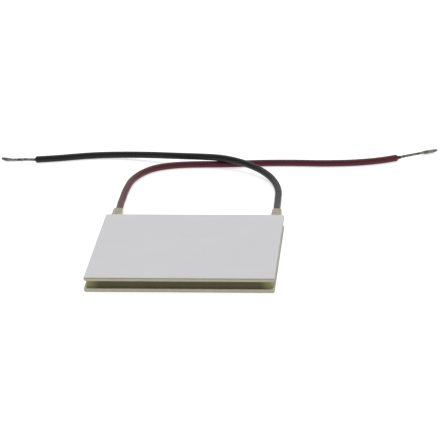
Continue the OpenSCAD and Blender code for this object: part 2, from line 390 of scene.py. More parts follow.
@dataclass(frozen=True)
class EdgeSealant(Finish):
    """Translucent silicone run round the gap: olive-brown over the dark couples, with painted light that
    pales it at the corners.
    """

    body: str = "554B2E"
    cloud: str = "463D24"
    # painted light: the pale colour that stands for light let in through both walls of a corner
    corner: str = "83814E"
    corner_light_from: float = 16.6 * MM
    corner_light_to: float = 19.8 * MM
    cloud_size: float = 3 * MM
    skin_size: float = 0.5 * MM
    skin_height: float = 0.01 * MM

    def dress(self, tree: bpy.types.NodeTree, shader: bpy.types.Node) -> None:
        """Cloudy browns, with painted light that pales them towards the corners, where both walls would let
        light in.
        """
        place = add(tree, "ShaderNodeTexCoord", pick="Object")
        clouds, browns = self.patches(tree, place, self.cloud_size, (self.body, self.cloud))
        out = add(tree, "ShaderNodeVectorMath", {0: place}, operation="ABSOLUTE")
        parts = add(tree, "ShaderNodeSeparateXYZ", {0: out}).node.outputs
        least = add(tree, "ShaderNodeMath", {0: parts["X"], 1: parts["Y"]}, operation="MINIMUM")
        drift = add(tree, "ShaderNodeMath", {0: clouds, 1: 2 * MM, 2: least}, operation="MULTIPLY_ADD")
        # painted light: a ramp from the browns to the pale colour near the corners
        pale = add(tree, "ShaderNodeMapRange", {
            "Value": drift, "From Min": self.corner_light_from + MM, "From Max": self.corner_light_to + MM},
            interpolation_type="SMOOTHSTEP")
        colour = add(tree, "ShaderNodeMix", {
            "Factor": pale, "A": browns, "B": srgb(self.corner)}, data_type="RGBA")
        bump = self.relief(tree, place, self.skin_size, self.skin_height)
        self.join(tree, shader, colour, bump=bump)


@dataclass(frozen=True)
class ExtrudedPvc(Finish):
    """Flexible PVC, extruded as a lead's jacket: satin, with faint die lines and a dusty bloom."""

    body: str = "161616"
    shade: str = "0E0E0E"
    bloom: str = "3A3A3A"
    line_width: float = 0.16 * MM
    line_length: float = 14 * MM
    line_height: float = 0.004 * MM
    bloom_size: float = 3.5 * MM
    bloom_share: float = 0.07
    shine: float = 0.3

    def dress(self, tree: bpy.types.NodeTree, shader: bpy.types.Node) -> None:
        """Die lines that follow the jacket, and patches of bloom that take the gloss off it."""
        skin = add(tree, "ShaderNodeAttribute", pick="Vector", attribute_name="skin")
        drawn = add(tree, "ShaderNodeMapping", {
            "Vector": skin, "Scale": (1 / self.line_width, 1 / self.line_width, 1 / self.line_length)})
        lines = add(tree, "ShaderNodeTexNoise", {"Vector": drawn, "Scale": 1.0, "Detail": 2.0})
        patches = add(tree, "ShaderNodeTexNoise", {
            "Vector": skin, "Scale": 1 / self.bloom_size, "Detail": 4.0, "Roughness": 0.6})
        dust = add(tree, "ShaderNodeMapRange", {
            "Value": patches, "From Min": 0.45, "From Max": 0.75, "To Max": self.bloom_share})
        solid = add(tree, "ShaderNodeMix", {
            "Factor": lines, "A": srgb(self.body), "B": srgb(self.shade)}, data_type="RGBA")
        colour = add(tree, "ShaderNodeMix", {
            "Factor": dust, "A": solid, "B": srgb(self.bloom)}, data_type="RGBA")
        gloss = add(tree, "ShaderNodeMapRange", {
            "Value": patches, "To Min": self.roughness - 0.1, "To Max": self.roughness + 0.14})
        bump = add(tree, "ShaderNodeBump", {"Height": lines, "Distance": self.line_height})
        shader.inputs["Specular IOR Level"].default_value = self.shine
        self.join(tree, shader, colour, gloss, bump)


@dataclass(frozen=True)
class SleeveTubing(Finish):
    """Yellowed vinyl tubing: translucent, so that the jacket in its outer end darkens it."""

    body: str = "DAD6B4"
    stain: str = "BDB78F"
    stain_size: float = 1.6 * MM
    see_through: float = 0.5
    line_width: float = 0.2 * MM
    line_length: float = 2 * MM
    line_height: float = 0.006 * MM

    def dress(self, tree: bpy.types.NodeTree, shader: bpy.types.Node) -> None:
        """Two yellows in soft stains over tubing that lets light through."""
        skin = add(tree, "ShaderNodeAttribute", pick="Vector", attribute_name="skin")
        _, colour = self.patches(tree, skin, self.stain_size, (self.body, self.stain))
        drawn = add(tree, "ShaderNodeMapping", {
            "Vector": skin, "Scale": (1 / self.line_width, 1 / self.line_width, 1 / self.line_length)})
        bump = self.relief(tree, drawn, 1.0, self.line_height)
        shader.inputs["Transmission Weight"].default_value = self.see_through
        self.join(tree, shader, colour, bump=bump)


@dataclass(frozen=True)
class ExitSealant(Finish):
    """Pale silicone smeared round each lead by hand: soft, satin, yellower where it is thick."""

    body: str = "D2CCB4"
    thick: str = "B3AB86"
    patch_size: float = 1.4 * MM
    skin_size: float = 0.4 * MM
    skin_height: float = 0.012 * MM

    def dress(self, tree: bpy.types.NodeTree, shader: bpy.types.Node) -> None:
        """Two creams in soft patches over a wrinkled skin."""
        place = add(tree, "ShaderNodeTexCoord", pick="Object")
        _, colour = self.patches(tree, place, self.patch_size, (self.body, self.thick))
        bump = self.relief(tree, place, self.skin_size, self.skin_height)
        self.join(tree, shader, colour, bump=bump)


@dataclass(frozen=True)
class TinnedMetal(Finish):
    """Tinned or soldered metal: grey, dulled in patches by oxide and flux, with a frosty grain."""

    metallic: float = 1.0
    body: str = "A2A29A"
    oxide: str = "50504A"
    patch_size: float = 0.9 * MM
    frost_size: float = 0.06 * MM
    frost_height: float = 0.003 * MM

    def dress(self, tree: bpy.types.NodeTree, shader: bpy.types.Node) -> None:
        """Clean and oxidised greys in patches, rougher where oxidised, over a fine frost."""
        place = add(tree, "ShaderNodeTexCoord", pick="Object")
        patches = add(tree, "ShaderNodeTexNoise", {
            "Vector": place, "Scale": 1 / self.patch_size, "Detail": 4.0})
        worn = add(tree, "ShaderNodeMapRange", {"Value": patches, "From Min": 0.35, "From Max": 0.65})
        colour = add(tree, "ShaderNodeMix", {
            "Factor": worn, "A": srgb(self.body), "B": srgb(self.oxide)}, data_type="RGBA")
        gloss = add(tree, "ShaderNodeMapRange", {
            "Value": worn, "To Min": self.roughness - 0.08, "To Max": self.roughness + 0.12})
        bump = self.relief(tree, place, self.frost_size, self.frost_height)
        self.join(tree, shader, colour, gloss, bump)


@dataclass(frozen=True)
class EtchedCopper(Finish):
    """Copper bonded to the ceramic and etched to shape: satin, rolled one way, tarnished in patches."""

    metallic: float = 1.0
    body: str = "D39A78"
    tarnish: str = "A8704F"
    patch_size: float = 1.5 * MM
    rolling: tuple[float, float, float] = (0.6 * MM, 0.05 * MM, 0.05 * MM)
    rolling_height: float = 0.002 * MM

    def dress(self, tree: bpy.types.NodeTree, shader: bpy.types.Node) -> None:
        """Bright and tarnished copper over fine rolling lines."""
        place = add(tree, "ShaderNodeTexCoord", pick="Object")
        _, colour = self.patches(tree, place, self.patch_size, (self.body, self.tarnish), detail=4.0)
        drawn = add(tree, "ShaderNodeMapping", {"Vector": place, "Scale": tuple(1 / s for s in self.rolling)})
        bump = self.relief(tree, drawn, 1.0, self.rolling_height, detail=1.0)
        self.join(tree, shader, colour, bump=bump)


@dataclass(frozen=True)
class DicedTelluride(Finish):
    """Bismuth telluride, diced from an ingot: dark mirror-like cleavage facets crossed by saw lines."""

    metallic: float = 1.0
    body: str = "8C8E94"
    facet: str = "62646A"
    facet_size: float = 0.3 * MM
    saw_step: float = 0.09 * MM
    saw_height: float = 0.003 * MM

    def dress(self, tree: bpy.types.NodeTree, shader: bpy.types.Node) -> None:
        """Crystal facets of two greys, with level saw lines."""
        place = add(tree, "ShaderNodeTexCoord", pick="Object")
        cells = add(tree, "ShaderNodeTexVoronoi", {
            "Vector": place, "Scale": 1 / self.facet_size}, pick="Color")
        tint = add(tree, "ShaderNodeSeparateXYZ", {0: cells}, pick="X")
        colour = add(tree, "ShaderNodeMix", {
            "Factor": tint, "A": srgb(self.body), "B": srgb(self.facet)}, data_type="RGBA")
        gloss = add(tree, "ShaderNodeMapRange", {
            "Value": tint, "To Min": self.roughness - 0.1, "To Max": self.roughness + 0.15})
        saw = add(tree, "ShaderNodeTexWave", {
            "Vector": place, "Scale": 1 / self.saw_step / math.tau, "Distortion": 0.5}, pick="Fac",
            bands_direction="Z")
        bump = add(tree, "ShaderNodeBump", {"Height": saw, "Distance": self.saw_height})
        self.join(tree, shader, colour, gloss, bump)


PLATE_FACE = FiredAlumina("fired_alumina_face", roughness=0.5, ior=1.76)
PLATE_EDGE = SnappedAlumina("snapped_alumina_edge", roughness=0.7, ior=1.76)
GAP_SEAL = EdgeSealant("silicone_edge_sealant", roughness=0.4, ior=1.41)
RED_PVC = ExtrudedPvc(
    "red_extruded_pvc", roughness=0.42, ior=1.53, body="5E1A26", shade="49121D", bloom="7E4C53")
BLACK_PVC = ExtrudedPvc("black_extruded_pvc", roughness=0.42, ior=1.53)
TUBING = SleeveTubing("yellowed_vinyl_tubing", roughness=0.3, ior=1.45)
EXIT_SEAL = ExitSealant("pale_silicone_sealant", roughness=0.42, ior=1.41)
STRAND = TinnedMetal("tinned_copper_strand", roughness=0.4)
DIPPED = TinnedMetal("dipped_lead_end_solder", roughness=0.42, body="96968F", oxide="686862")
REFLOWED = TinnedMetal("reflowed_solder", roughness=0.25, body="C9CACC", oxide="A9A9A8")
COPPER = EtchedCopper("etched_copper_tab", roughness=0.35)
N_TELLURIDE = DicedTelluride("diced_n_bismuth_telluride", roughness=0.35, body="7C7F86", facet="54575D")
P_TELLURIDE = DicedTelluride("diced_p_bismuth_telluride", roughness=0.35)


# ---------------------------------------------------------------- lines and lofts


class Centreline:
    """A smooth line through a few points, with its lengths and a frame that doesn't twist."""

    def __init__(
        self, knots: Sequence[Sequence[float]], step: float = 0.2 * MM, lowest: float = 0.0
    ) -> None:
        """Runs a smooth line through the points and divides it evenly.

        Args:
            knots: The points that the line passes through, in metres.
            step: Spacing of the divided line's points, in metres.
            lowest: Height that the line doesn't go under.
        """
        dense = self._smooth(np.array(knots, float))
        dense[:, 2] = np.maximum(dense[:, 2], lowest)
        gone = np.concatenate([[0], np.cumsum(np.linalg.norm(np.diff(dense, axis=0), axis=1))])
        self.length = float(gone[-1])
        self.stations = np.linspace(0, self.length, max(2, round(self.length / step) + 1))
        self.points = np.stack([np.interp(self.stations, gone, dense[:, i]) for i in range(3)], 1)
        ahead = np.gradient(self.points, self.stations, axis=0)
        self.ahead = ahead / np.linalg.norm(ahead, axis=1, keepdims=True)
        self.side, self.lift = self._frames()

    @staticmethod
    def _smooth(knots: np.ndarray, parts: int = 24) -> np.ndarray:
        """Fills in each stretch between two knots with a cubic that meets its neighbours smoothly."""
        padded = np.vstack([2 * knots[0] - knots[1], knots, 2 * knots[-1] - knots[-2]])
        rows = []
        for before, start, end, after in zip(padded, padded[1:], padded[2:], padded[3:]):
            pull = np.linalg.norm(end - start)
            leave = (end - before) / np.linalg.norm(end - before) * pull
            arrive = (after - start) / np.linalg.norm(after - start) * pull
            t = np.linspace(0, 1, parts, endpoint=False)[:, None]
            rows.append((2 * t**3 - 3 * t**2 + 1) * start + (t**3 - 2 * t**2 + t) * leave
                        + (3 * t**2 - 2 * t**3) * end + (t**3 - t**2) * arrive)
        return np.vstack([*rows, knots[-1:]])

    def _frames(self) -> tuple[np.ndarray, np.ndarray]:
        """Carries a sideways direction along the line with no twist.

        Returns:
            For each point, the sideways direction and the one square to it and to the line.
        """
        start = np.cross(self.ahead[0], (0, 0, 1))
        sides = [start / np.linalg.norm(start)]
        for ahead in self.ahead[1:]:
            side = sides[-1] - (sides[-1] @ ahead) * ahead
            sides.append(side / np.linalg.norm(side))
        side = np.array(sides)
        return side, np.cross(self.ahead, side)

    def bend(self, straight: np.ndarray) -> np.ndarray:
        """Bends points given as if the line were straight.

        Args:
            straight: Rows of distance sideways, distance upwards, and length along the line.

        Returns:
            The same points in the row frame.
        """
        along = straight[:, 2]
        inside = np.clip(along, 0, self.length)

        def at(rows: np.ndarray) -> np.ndarray:
            """Reads a value stored along the line."""
            return np.stack([np.interp(inside, self.stations, rows[:, i]) for i in range(3)], 1)

        return (at(self.points) + at(self.ahead) * (along - inside)[:, None]
                + at(self.side) * straight[:, :1] + at(self.lift) * straight[:, 1:2])


def loft(
    name: str,
    line: Centreline,
    outline: Sequence[tuple[float, float]],
    sides: int,
    uneven: Callable[[np.ndarray, np.ndarray], np.ndarray] | None = None,
    closed: bool = False,
) -> bpy.types.Object:
    """Turns an outline about a line, as a lathe would, and bends the result along it.

    Args:
        name: Name of the object.
        line: The line that the shape follows.
        outline: Pairs of length along the line and radius. A radius of 0 is a pole.
        sides: Number of sides of the rings.
        uneven: Gives the factor on the radius for arrays of angle and length.
        closed: Whether the outline closes on itself, as a tube's wall does.

    Returns:
        A closed mesh, with its straight coordinates stored as "skin".
    """
    angles = np.arange(sides) * math.tau / sides
    rows, rings = [], []
    count = 0
    for along, radius in outline:
        if radius == 0:
            rows.append([[0, 0, along]])
            rings.append([count] * sides)
            count += 1
            continue
        length = np.full(sides, along)
        scale = radius * (uneven(angles, length) if uneven else np.ones(sides))
        rows.append(np.stack([scale * np.cos(angles), scale * np.sin(angles), length], 1))
        rings.append(list(range(count, count + sides)))
        count += sides
    straight = np.vstack(rows)
    pairs = list(zip(rings, rings[1:])) + ([(rings[-1], rings[0])] if closed else [])
    faces = []
    for low, high in pairs:
        for j in range(sides):
            k = (j + 1) % sides
            face = dict.fromkeys((low[j], low[k], high[k], high[j]))
            faces.append(list(face))
    made = mesh_object(name, line.bend(straight), faces)
    store(made, "skin", straight)
    return made


def ripple(
    amount: float, size: float, lobes: int, seed: float
) -> Callable[[np.ndarray, np.ndarray], np.ndarray]:
    """Makes a soft unevenness for a loft.

    Args:
        amount: Greatest change of the radius, as a share of it.
        size: Length of one wave along the line, in metres.
        lobes: Number of waves round the ring.
        seed: Shifts the waves, so that no two pieces share them.

    Returns:
        The factor on the radius for arrays of angle and length.
    """
    def factor(angle: np.ndarray, along: np.ndarray) -> np.ndarray:
        """Adds up three waves that don't repeat together."""
        turn = along / size
        waves = (np.sin(turn * 2.1 + seed) + np.sin(lobes * angle + turn * 3.3 + 2 * seed)
                 + np.sin((lobes + 1) * angle - turn * 4.7 + 5 * seed))
        return 1 - amount * (3 - waves) / 6

    return factor


# ---------------------------------------------------------------- plates


class Outside(Enum):
    """Which way a plate's outer face looks."""

    UP = 1
    DOWN = -1


@dataclass
class CeramicPlate:
    """A ceramic plate, scribed by a laser from its outer face and snapped along the row of pits."""

    name: str
    node: str
    outside: Outside
    seed: int
    corner_cut: float = 0.35 * MM
    scribe_depth: float = 0.05 * MM
    scribe_height: float = 0.25 * MM
    edge_break: float = 0.1 * MM
    pit_pitch: float = 0.3 * MM  # the real pits are 0.15 mm apart, which is too fine to show
    pit_depth: float = 0.05 * MM
    fracture: float = 0.02 * MM
    chip_depth: float = 0.09 * MM
    steps_per_pit: int = 5
    corner_steps: int = 8
    rim_loops: tuple[tuple[float, int], ...] = ((0.35 * MM, 200), (1.0 * MM, 64))
    grid_inset: float = 2.5 * MM
    grid_cells: int = 20
    sharp_from: float = math.radians(35)

    def build(self) -> bpy.types.Object:
        """Makes the plate and dresses its faces and its edge.

        Returns:
            The finished piece, in place of its CAD node.
        """
        blank = self._blank()
        plate = grow(
            blank, self._laser_tree(), pitch=self.pit_pitch, depth=self.pit_depth, fracture=self.fracture,
            chips=self.chip_depth, seed=self.seed, face_finish=PLATE_FACE.material(),
            edge_finish=PLATE_EDGE.material(),
        )
        plate.data.set_sharp_from_angle(angle=self.sharp_from)
        return settle(plate, "alumina", self.node)

    def _section(self) -> list[tuple[float, float, float, float]]:
        """The edge from the outer face down: inset, depth, and shares of laser pit and of fracture."""
        thick = self._thickness()
        rest = thick - self.scribe_height
        rows = []
        for share in (0, 1 / 3, 2 / 3, 1):
            turn = math.pi / 2 * share
            rows.append((self.scribe_depth + self.edge_break * (1 - math.sin(turn)),
                         self.edge_break * (1 - math.cos(turn)), 0.3 * share, 0.0))
        return rows + [
            (self.scribe_depth, self.scribe_height * 0.7, 1.0, 0.0),
            (self.scribe_depth, self.scribe_height * 0.9, 0.8, 0.1),
            (self.scribe_depth * 0.8, self.scribe_height, 0.4, 0.3),
            (0.0, self.scribe_height + rest * 0.06, 0.1, 0.8),
            *((0.0, self.scribe_height + rest * share, 0.0, 1.0) for share in (0.3, 0.55, 0.8)),
            (0.0, thick - self.scribe_depth, 0.0, 0.6),
            (self.scribe_depth, thick, 0.0, 0.2),
        ]

    def _thickness(self) -> float:
        """Thickness of the CAD plate."""
        low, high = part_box(self.node)
        return high.z - low.z

    def _outline(self, inset: float, steps: int, corner_steps: int) -> np.ndarray:
        """Points round the plate, from one corner's cut to the next, anticlockwise from above.

        Args:
            inset: Distance in from the plate's edge.
            steps: Number of points along each side.
            corner_steps: Number of points along each corner's cut.

        Returns:
            One row of x and y for each point.
        """
        low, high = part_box(self.node)
        x, y = (high.x - low.x) / 2 - inset, (high.y - low.y) / 2 - inset
        cut = max(0.0, self.corner_cut - inset * (2 - math.sqrt(2)))
        ends = [((x, cut - y), (x, y - cut)), ((x - cut, y), (cut - x, y)),
                ((-x, y - cut), (-x, cut - y)), ((cut - x, -y), (x - cut, -y))]
        rows = []
        for side, (start, end) in enumerate(ends):
            after = ends[(side + 1) % 4][0]
            rows.append(np.linspace(start, end, steps, endpoint=False))
            if corner_steps:
                rows.append(np.linspace(end, after, corner_steps, endpoint=False))
        return np.vstack(rows)

    def _blank(self) -> bpy.types.Object:
        """Makes the plain plate, with its edge finely divided for the laser and the fracture to shape."""
        low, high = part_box(self.node)
        per_side = round((high.x - low.x) / self.pit_pitch) * self.steps_per_pit
        section = self._section()
        outline = self._outline(0, per_side, self.corner_steps)
        ring = len(outline)
        gone = np.linalg.norm(np.roll(outline, -1, 0) - outline, axis=1)
        along = np.concatenate([[0], np.cumsum(gone)[:-1]])
        inward = -self._outward(outline)
        rows = {"points": [], "along": [], "pit": [], "snap": [], "rim": [], "inward": []}
        faces = []
        for inset, depth, pit, snap in section:
            flat = self._outline(inset, per_side, self.corner_steps)
            rows["points"].append(np.column_stack([flat, np.full(ring, -depth)]))
            rows["along"].append(along)
            rows["inward"].append(inward)
            for key, value in (("pit", pit), ("snap", snap), ("rim", float(depth < self.edge_break * 0.99))):
                rows[key].append(np.full(ring, value))
        for i in range(len(section) - 1):
            a = np.arange(ring) + i * ring
            b = np.roll(a, -1)
            faces += np.column_stack([b, a, a + ring, b + ring]).tolist()
        edge_faces = len(faces)
        count = ring * len(section)
        thick = self._thickness()
        for start, depth, flip in ((0, 0.0, False), (count - ring, thick, True)):
            inner, inner_faces = self._face(section[0][0] if not flip else section[-1][0], start, ring, count)
            rows["points"].append(np.column_stack([inner, np.full(len(inner), -depth)]))
            for key in ("along", "pit", "snap", "rim"):
                rows[key].append(np.zeros(len(inner)))
            rows["inward"].append(np.zeros((len(inner), 3)))
            faces += [face[::-1] for face in inner_faces] if flip else inner_faces
            count += len(inner)
        points = np.vstack(rows["points"])
        points[:, 2] = (high.z + points[:, 2]) if self.outside is Outside.UP else (low.z - points[:, 2])
        if self.outside is Outside.DOWN:
            faces = [face[::-1] for face in faces]
        blank = mesh_object(self.name, points, faces)
        for key in ("along", "pit", "snap", "rim"):
            store(blank, key, np.concatenate(rows[key]))
        store(blank, "inward", np.vstack(rows["inward"]))
        edge = blank.data.attributes.new("edge", "BOOLEAN", "FACE")
        edge.data.foreach_set("value", [3 * ring <= i < edge_faces for i in range(len(faces))])
        return blank

    @staticmethod
    def _outward(outline: np.ndarray) -> np.ndarray:
        """The outward direction at each point of an outline, level with the plate."""
        run = np.roll(outline, -1, 0) - np.roll(outline, 1, 0)
        out = np.column_stack([run[:, 1], -run[:, 0], np.zeros(len(run))])
        return out / np.linalg.norm(out, axis=1, keepdims=True)

    def _face(self, inset: float, start: int, ring: int, count: int) -> tuple[np.ndarray, list[list[int]]]:
        """Fills a flat face from its finely divided rim to a coarse grid.

        Args:
            inset: Inset of the rim that the face starts at.
            start: Number of the rim's first vertex.
            ring: Number of vertices in the rim.
            count: Number of the first new vertex.

        Returns:
            The new vertices' x and y, and the faces, anticlockwise from above.
        """
        low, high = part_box(self.node)
        rim = self._outline(inset, (ring - 4 * self.corner_steps) // 4, self.corner_steps)
        loops = [(rim, list(range(start, start + ring)))]
        points, faces = [], []
        for deeper, steps in self.rim_loops:
            loop = self._outline(inset + deeper, steps, 0)
            loops.append((loop, list(range(count, count + len(loop)))))
            points.append(loop)
            count += len(loop)
        cells = self.grid_cells
        half_x, half_y = (side / 2 - inset - self.grid_inset for side in (high.x - low.x, high.y - low.y))
        xs, ys = np.linspace(-half_x, half_x, cells + 1), np.linspace(-half_y, half_y, cells + 1)
        grid = np.array([(x, y) for y in ys for x in xs])

        def number(column: int, row: int) -> int:
            """Vertex number of a grid point."""
            return count + row * (cells + 1) + column

        edge = ([number(cells, r) for r in range(cells)] + [number(c, cells) for c in range(cells, 0, -1)]
                + [number(0, r) for r in range(cells, 0, -1)] + [number(c, 0) for c in range(cells)])
        loops.append((grid[[n - count for n in edge]], edge))
        points.append(grid)
        for outer, inner in zip(loops, loops[1:]):
            faces += self._stitch(outer, inner)
        faces += [[number(c, r), number(c + 1, r), number(c + 1, r + 1), number(c, r + 1)]
                  for r in range(cells) for c in range(cells)]
        return np.vstack(points), faces

    @staticmethod
    def _stitch(
        outer: tuple[np.ndarray, list[int]], inner: tuple[np.ndarray, list[int]]
    ) -> list[list[int]]:
        """Joins two closed loops of different counts with triangles.

        Args:
            outer: The outer loop's x and y, and its vertex numbers.
            inner: The same for the inner loop. Both start near the same corner.

        Returns:
            The triangles, anticlockwise from above.
        """
        def turns(loop: np.ndarray) -> np.ndarray:
            """How far round a square each point is, from 0 to 4."""
            x, y = loop[:, 0] / np.abs(loop[:, 0]).max(), loop[:, 1] / np.abs(loop[:, 1]).max()
            sides = [(1 + y) / 2, 1 + (1 - x) / 2, 2 + (1 - y) / 2, 3 + (1 + x) / 2]
            right, left = (x >= np.abs(y)), (-x >= np.abs(y))
            return np.select([right, left, y > 0], [sides[0], sides[2], sides[1]], sides[3])

        a, b = turns(outer[0]), turns(inner[0])
        a[0], b[0] = 0.0, 0.0
        a, b = np.append(a, 4.0), np.append(b, 4.0)
        first, second = outer[1] + outer[1][:1], inner[1] + inner[1][:1]
        faces, i, j = [], 0, 0
        while i < len(first) - 1 or j < len(second) - 1:
            if j == len(second) - 1 or (i < len(first) - 1 and a[i + 1] <= b[j + 1]):
                faces.append([first[i], first[i + 1], second[j]])
                i += 1
            else:
                faces.append([first[i], second[j + 1], second[j]])
                j += 1
        return faces

    @staticmethod
    def _laser_tree() -> bpy.types.NodeTree:
        """The tree that sinks the laser's half-pits, breaks the snapped zone and chips the rim."""
        known = bpy.data.node_groups.get("laser_scribed_edge")
        if known:
            return known
        tree, given = new_tree(
            "laser_scribed_edge", pitch="Float", depth="Float", fracture="Float", chips="Float", seed="Int",
            face_finish="Material", edge_finish="Material")
        along, pit, snap, rim = (
            add(tree, "GeometryNodeInputNamedAttribute", {"Name": key}, data_type="FLOAT")
            for key in ("along", "pit", "snap", "rim"))
        inward = add(tree, "GeometryNodeInputNamedAttribute", {"Name": "inward"}, data_type="FLOAT_VECTOR")
        place = add(tree, "GeometryNodeInputPosition")
        turn = add(tree, "ShaderNodeMath", {0: along, 1: given["pitch"]}, operation="DIVIDE")
        part = add(tree, "ShaderNodeMath", {0: turn}, operation="FRACT")
        off = add(tree, "ShaderNodeMath", {0: part, 1: 2.2, 2: -1.1}, operation="MULTIPLY_ADD")
        square = add(tree, "ShaderNodeMath", {0: off, 1: off}, operation="MULTIPLY")
        left = add(tree, "ShaderNodeMath", {0: 1.0, 1: square}, operation="SUBTRACT", use_clamp=True)
        round_pit = add(tree, "ShaderNodeMath", {0: left}, operation="SQRT")
        sunk = add(tree, "ShaderNodeMath", {0: round_pit, 1: pit}, operation="MULTIPLY")
        drilled = add(tree, "ShaderNodeMath", {0: sunk, 1: given["depth"]}, operation="MULTIPLY")
        coarse, rare = (
            add(tree, "ShaderNodeTexNoise", {
                "Vector": place, "W": given["seed"], "Scale": 1 / size, "Detail": detail},
                noise_dimensions="4D")
            for size, detail in ((0.35 * MM, 3.0), (0.9 * MM, 2.0)))
        torn = add(tree, "ShaderNodeMath", {0: coarse, 1: snap}, operation="MULTIPLY")
        broken = add(tree, "ShaderNodeMath", {0: torn, 1: given["fracture"]}, operation="MULTIPLY")
        struck = add(tree, "ShaderNodeMapRange", {"Value": rare, "From Min": 0.66, "From Max": 0.78})
        chipped = add(tree, "ShaderNodeMath", {0: struck, 1: rim}, operation="MULTIPLY")
        lost = add(tree, "ShaderNodeMath", {0: chipped, 1: given["chips"]}, operation="MULTIPLY")
        both = add(tree, "ShaderNodeMath", {0: drilled, 1: broken}, operation="ADD")
        total = add(tree, "ShaderNodeMath", {0: both, 1: lost}, operation="ADD")
        shift = add(tree, "ShaderNodeVectorMath", {0: inward, "Scale": total}, operation="SCALE")
        shaped = add(tree, "GeometryNodeSetPosition", {"Geometry": given["shape"], "Offset": shift})
        deep = add(tree, "ShaderNodeMath", {0: sunk, 1: 0.5}, operation="MULTIPLY")
        fused = add(tree, "ShaderNodeMath", {0: pit, 1: 0.5, 2: deep}, operation="MULTIPLY_ADD")
        glazed = add(tree, "GeometryNodeStoreNamedAttribute", {
            "Geometry": shaped, "Name": "glaze", "Value": fused}, data_type="FLOAT", domain="POINT")
        real = add(tree, "GeometryNodeRealizeInstances", {"Geometry": glazed})
        faced = add(tree, "GeometryNodeSetMaterial", {"Geometry": real, "Material": given["face_finish"]})
        edge = add(tree, "GeometryNodeInputNamedAttribute", {"Name": "edge"}, data_type="BOOLEAN")
        done = add(tree, "GeometryNodeSetMaterial", {
            "Geometry": faced, "Selection": edge, "Material": given["edge_finish"]})
        add(tree, "NodeGroupOutput", {"result": done})
        return tree


# ---------------------------------------------------------------- edge seal


@dataclass
class EdgeSeal:
    """The bead of silicone that closes the gap between the plates, hollow and a little uneven."""

    node: str = "edge_seal"
    wall: float = 0.6 * MM
    hollow: float = 0.12 * MM
    corner_radius: float = 1.1 * MM
    corner_steps: int = 10
    step: float = 0.25 * MM
    section_steps: int = 12
    unevenness: float = 0.09 * MM
    wave_size: float = 2.2 * MM
    sharp_from: float = math.radians(50)
    seed: int = 3

    def build(self) -> bpy.types.Object:
        """Sweeps the seal's section round the gap.

        Returns:
            The finished piece, in place of its CAD node.
        """
        path = curve_object("edge_sealant", self._path(), cyclic=True)
        section = curve_object("seal_section", self._section(), cyclic=True)
        seal = grow(
            path, self._sweep_tree(), section=section, inner_wall=-self.wall / 2, waves=self.unevenness,
            wave_size=1 / self.wave_size, seed=self.seed, finish=GAP_SEAL.material(),
        )
        bpy.data.objects.remove(section)
        seal.data.set_sharp_from_angle(angle=self.sharp_from)
        return settle(seal, "edge_sealant", self.node)

    def _path(self) -> np.ndarray:
        """The seal's outer outline, with round corners, halfway up the gap."""
        low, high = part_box(self.node)
        half = [(high.x - low.x) / 2 - self.corner_radius, (high.y - low.y) / 2 - self.corner_radius]
        rows = []
        for quarter, (sx, sy) in enumerate(((1, 1), (-1, 1), (-1, -1), (1, -1))):
            centre = np.array([sx * half[0], sy * half[1]])
            turns = (quarter + np.linspace(0, 1, self.corner_steps + 1)) * math.pi / 2
            arc = centre + self.corner_radius * np.column_stack([np.cos(turns), np.sin(turns)])
            rows.append(arc)
        corners = rows + rows[:1]
        points = []
        for arc, following in zip(corners, corners[1:]):
            run = following[0] - arc[-1]
            steps = max(1, round(np.linalg.norm(run) / self.step))
            straight = arc[-1] + run * np.linspace(0, 1, steps, endpoint=False)[1:, None]
            points += [arc, straight]
        flat = np.vstack(points)
        return np.column_stack([flat, np.full(len(flat), (low.z + high.z) / 2)])

    def _section(self) -> np.ndarray:
        """The seal's section, with its outer face hollowed, and x outwards from the outer outline."""
        low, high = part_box(self.node)
        half = (high.z - low.z) / 2
        share = np.linspace(-1, 1, self.section_steps + 1)
        outer = np.column_stack([-self.hollow * (1 - np.abs(share) ** 2.5), share * half, 0 * share])
        inner = np.array([[-self.wall, half, 0], [-self.wall, 0, 0], [-self.wall, -half, 0]])
        return np.vstack([outer, inner])

    @staticmethod
    def _sweep_tree() -> bpy.types.NodeTree:
        """The tree that sweeps a section along a level path and makes its outer face uneven."""
        tree, given = new_tree(
            "seal_sweep", section="Object", inner_wall="Float", waves="Float", wave_size="Float", seed="Int",
            finish="Material")
        place = add(tree, "GeometryNodeInputPosition")
        across = add(tree, "ShaderNodeSeparateXYZ", {0: place}, pick="X")
        drawn = add(tree, "GeometryNodeObjectInfo", {"Object": given["section"]}, pick="Geometry")
        marked = add(tree, "GeometryNodeStoreNamedAttribute", {
            "Geometry": drawn, "Name": "across", "Value": across}, data_type="FLOAT", domain="POINT")
        upright = add(tree, "GeometryNodeSetCurveNormal", {"Curve": given["shape"]}, mode="Z_UP")
        swept = add(tree, "GeometryNodeCurveToMesh", {"Curve": upright, "Profile Curve": marked})
        noise = add(tree, "ShaderNodeTexNoise", {
            "Vector": place, "W": given["seed"], "Scale": given["wave_size"], "Detail": 3.0},
            noise_dimensions="4D")
        centred = add(tree, "ShaderNodeMath", {0: noise, 1: 0.5}, operation="SUBTRACT")
        height = add(tree, "ShaderNodeMath", {0: centred, 1: given["waves"]}, operation="MULTIPLY")
        kept = add(tree, "GeometryNodeInputNamedAttribute", {"Name": "across"}, data_type="FLOAT")
        free = add(tree, "FunctionNodeCompare", {0: kept, 1: given["inner_wall"]}, operation="GREATER_THAN")
        normal = add(tree, "GeometryNodeInputNormal")
        level = add(tree, "ShaderNodeVectorMath", {0: normal, 1: (1.0, 1.0, 0.0)}, operation="MULTIPLY")
        shift = add(tree, "ShaderNodeVectorMath", {0: level, "Scale": height}, operation="SCALE")
        shaped = add(tree, "GeometryNodeSetPosition", {
            "Geometry": swept, "Selection": free, "Offset": shift})
        smooth = add(tree, "GeometryNodeSetShadeSmooth", {"Geometry": shaped})
        real = add(tree, "GeometryNodeRealizeInstances", {"Geometry": smooth})
        done = add(tree, "GeometryNodeSetMaterial", {"Geometry": real, "Material": given["finish"]})
        add(tree, "NodeGroupOutput", {"result": done})
        return tree


